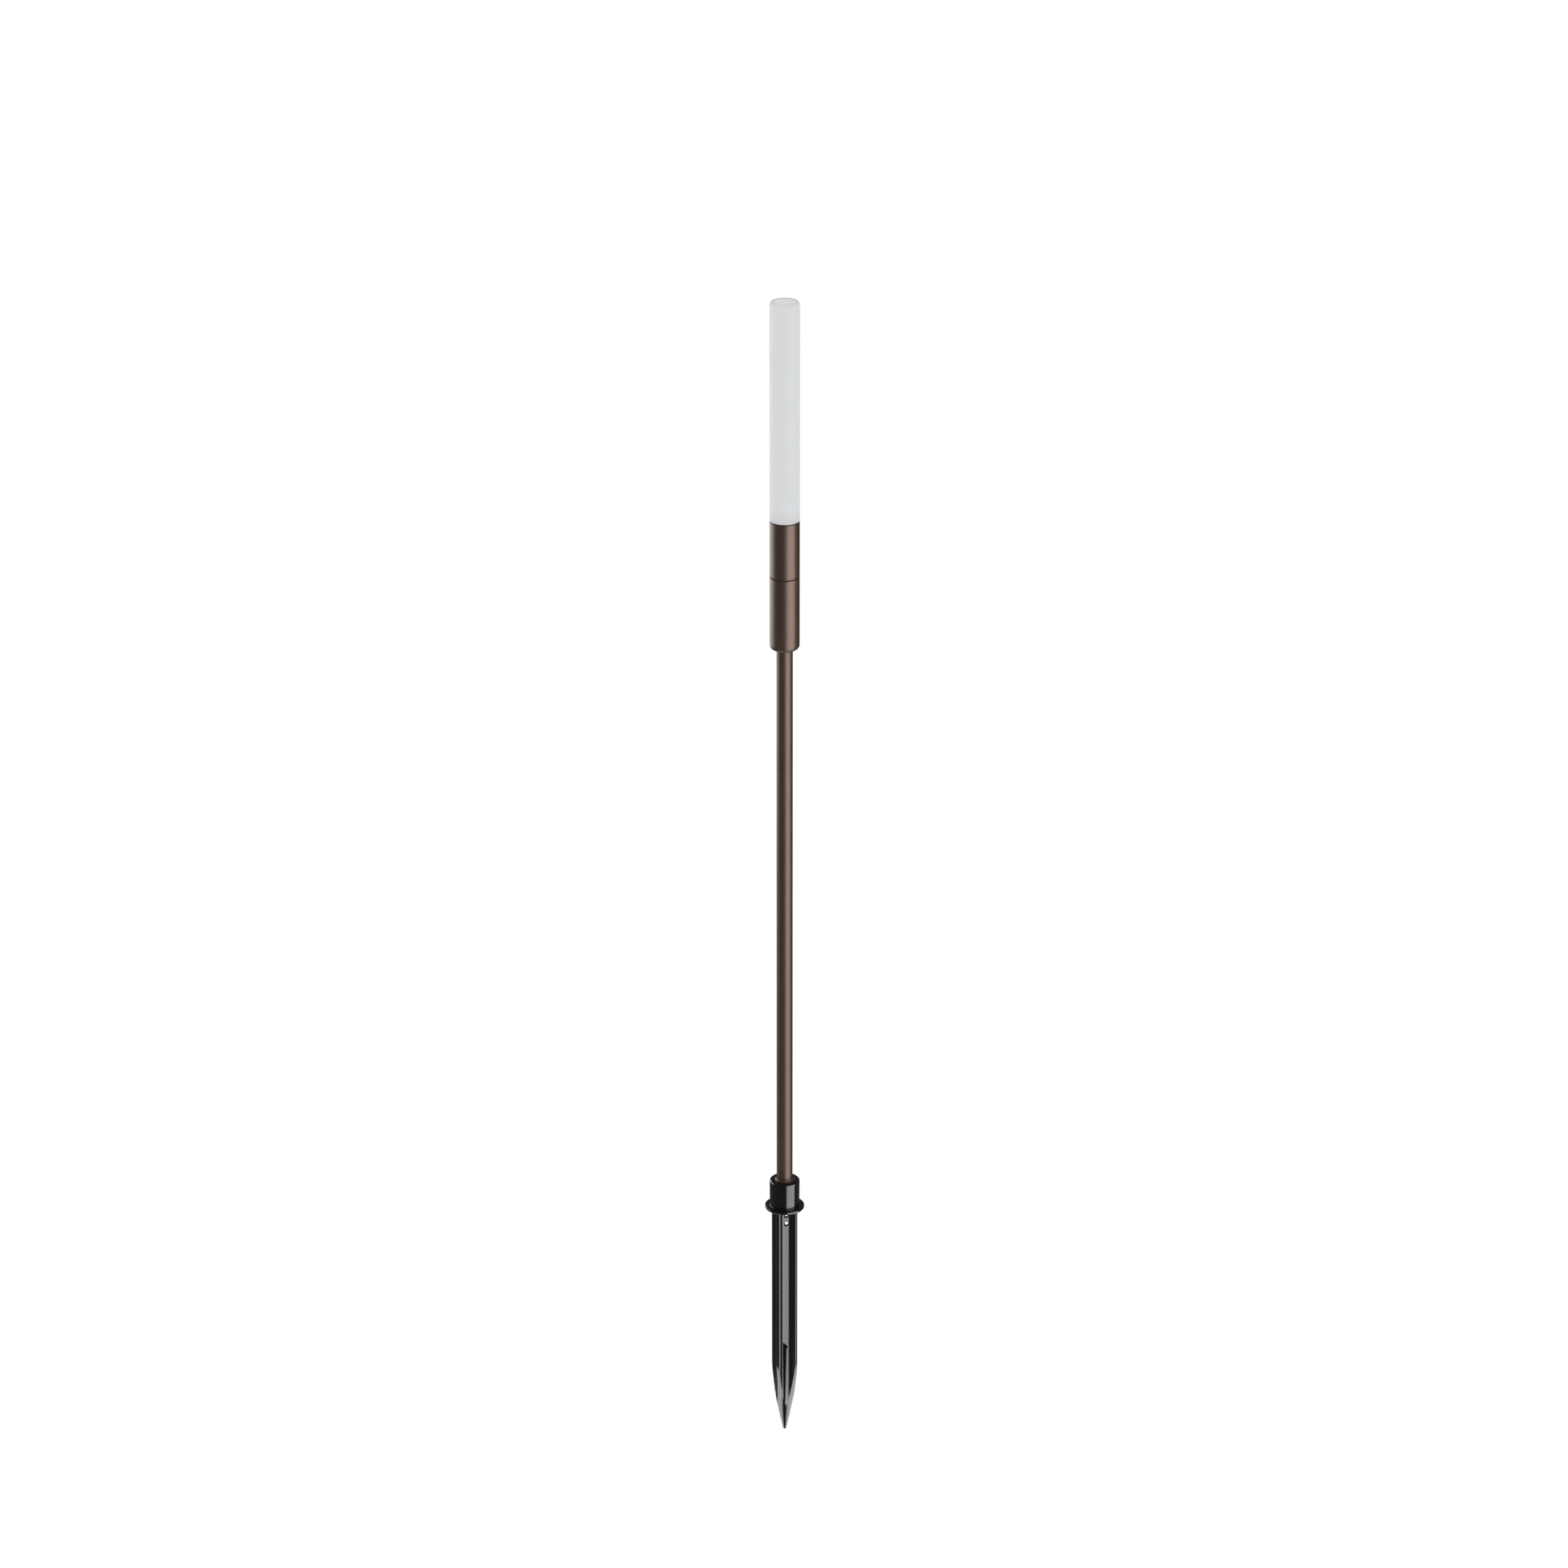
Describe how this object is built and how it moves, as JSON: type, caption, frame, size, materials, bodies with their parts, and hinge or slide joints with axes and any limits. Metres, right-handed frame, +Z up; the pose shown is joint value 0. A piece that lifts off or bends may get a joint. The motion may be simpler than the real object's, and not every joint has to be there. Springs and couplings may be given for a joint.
{
  "type": "garden torch light",
  "caption": "Low-voltage LED garden torch: a frosted acrylic tube on a bronze housing and stem, with a fluted black ground stake that is pushed into soil.",
  "frame": {"origin": "on the torch's axis at the ground line, which is the plane of the flange's underside", "axes": "+Z up along the torch's axis, -Y towards the side with the two round wire holes, +X to the right as that side is faced"},
  "size_m": [0.0472, 0.0472, 1.4478],
  "materials": {
    "black_gloss": "glossy black moulded plastic with faint mould ripple",
    "rubber": "soft black rubber",
    "bronze_smooth": "smooth satin bronze powder coat",
    "bronze_textured": "fine-textured satin bronze powder coat",
    "brass": "plain machined brass",
    "zinc_steel": "zinc-plated steel",
    "white_plastic": "white moulded plastic",
    "circuit_board": "green solder mask",
    "led_board": "white solder mask with yellow chips",
    "black_sleeve": "printed-free black shrink sleeve",
    "grey_pad": "soft grey heat-conducting pad",
    "aluminium": "extruded and turned aluminium",
    "black_trim": "satin black moulded plastic",
    "frosted_acrylic": "frosted white acrylic, evenly diffusing"
  },
  "bodies": {
    "stake": {"ground_stake": "black_gloss"},
    "foot_washer": {"foot_seal": "rubber"},
    "post": {"stem_foot": "bronze_smooth", "cable_grommet": "rubber", "stem_tube": "bronze_textured", "hub_seal": "rubber", "hub_nipple": "brass", "lower_housing": "bronze_smooth", "hub_lock_washer": "zinc_steel", "hub_locknut": "zinc_steel", "tray_nut": "zinc_steel", "driver_tray": "white_plastic", "driver_board": "circuit_board", "driver_capacitor": "black_sleeve", "terminal_block": "white_plastic"},
    "gasket": {"joint_gasket": "rubber"},
    "head": {"upper_housing": "bronze_smooth", "thermal_pad": "grey_pad", "column_base": "aluminium", "column_screw": "zinc_steel", "base_screw_1": "zinc_steel", "base_screw_2": "zinc_steel", "led_column": "aluminium", "led_strip_1": "led_board", "led_strip_2": "led_board", "led_strip_3": "led_board", "led_strip_4": "led_board", "column_spacer": "white_plastic", "led_plug": "white_plastic", "diffuser_collar": "black_trim", "diffuser_seal": "rubber", "diffuser_tube": "frosted_acrylic", "diffuser_cap": "frosted_acrylic"}
  },
  "joints": [
    {"name": "foot_lift", "type": "slide", "parent": "stake", "child": "foot_washer", "axis": [0, 0, 1], "range_m": [0, 0.0145]},
    {"name": "foot_turn", "type": "hinge", "parent": "foot_washer", "child": "post", "pos_m": [0, 0, 0.0359], "axis": [0, 0, 1], "range_deg": [0, 2880]},
    {"name": "head_lift", "type": "slide", "parent": "post", "child": "gasket", "axis": [0, 0, 1], "range_m": [0, 0.015]},
    {"name": "head_turn", "type": "hinge", "parent": "gasket", "child": "head", "pos_m": [0, 0, 0.8126], "axis": [0, 0, 1], "range_deg": [0, 2700]}
  ],
  "couplings": [
    {"joint": "foot_turn", "follows": "foot_lift", "rad_per_m": 3463.2},
    {"joint": "head_turn", "follows": "head_lift", "rad_per_m": 3141.6}
  ]
}
